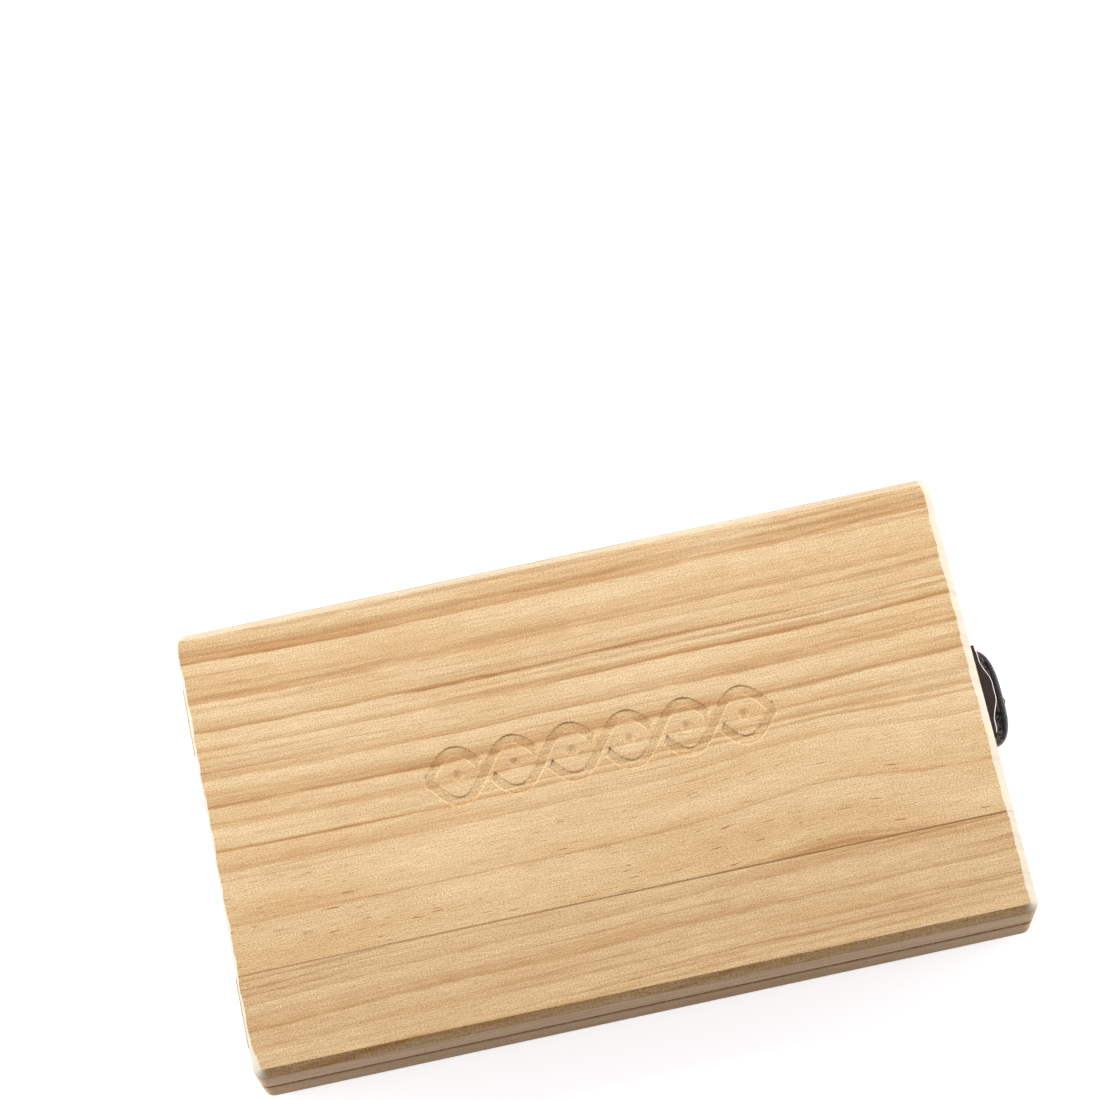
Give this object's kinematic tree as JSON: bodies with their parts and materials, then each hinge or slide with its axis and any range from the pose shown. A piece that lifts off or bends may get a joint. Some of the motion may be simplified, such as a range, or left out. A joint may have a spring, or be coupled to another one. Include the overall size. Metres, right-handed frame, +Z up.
{
  "type": "folding mancala board",
  "caption": "Folding wooden game board that closes into a flat case: hollowed halves, butt hinges at one end and a hasp latch at the other, with pits and a store inside.",
  "frame": {"origin": "middle of the underside of the closed board's wood, on the surface that it lies on", "axes": "+X along the closed board towards the latch, with the hinges at -X; +Y across it; +Z up, out of the top face of the upper half"},
  "size_m": [0.2294, 0.13, 0.028],
  "materials": {
    "pine": "pale honey pine with darker streaks, thin satin lacquer",
    "hinge_brass": "plain brass, lightly handled",
    "antique_bronze": "dark antique bronze plating, semi-gloss"
  },
  "bodies": {
    "lower_half": {"lower_board": "pine", "catch_plate": "antique_bronze", "catch_plate_screw_1": "antique_bronze", "catch_plate_screw_2": "antique_bronze", "catch_staple": "antique_bronze", "front_hinge_lower_leaf": "hinge_brass", "front_hinge_lower_screw_1": "hinge_brass", "front_hinge_lower_screw_2": "hinge_brass", "front_hinge_pin": "hinge_brass", "back_hinge_lower_leaf": "hinge_brass", "back_hinge_lower_screw_1": "hinge_brass", "back_hinge_lower_screw_2": "hinge_brass", "back_hinge_pin": "hinge_brass"},
    "upper_half": {"upper_board": "pine", "latch_plate": "antique_bronze", "latch_plate_screw_1": "antique_bronze", "latch_plate_screw_2": "antique_bronze", "hasp_pin": "antique_bronze", "front_hinge_upper_leaf": "hinge_brass", "front_hinge_upper_screw_1": "hinge_brass", "front_hinge_upper_screw_2": "hinge_brass", "back_hinge_upper_leaf": "hinge_brass", "back_hinge_upper_screw_1": "hinge_brass", "back_hinge_upper_screw_2": "hinge_brass"},
    "flap": {"hasp_flap": "antique_bronze"}
  },
  "joints": [
    {"name": "fold", "type": "hinge", "parent": "lower_half", "child": "upper_half", "pos_m": [-0.11015, 0, 0.014], "axis": [0, -1, 0], "range_deg": [0, 180]},
    {"name": "hasp_swing", "type": "hinge", "parent": "upper_half", "child": "flap", "pos_m": [0.1126, 0, 0.0224], "axis": [0, -1, 0], "range_deg": [0, 120]}
  ]
}
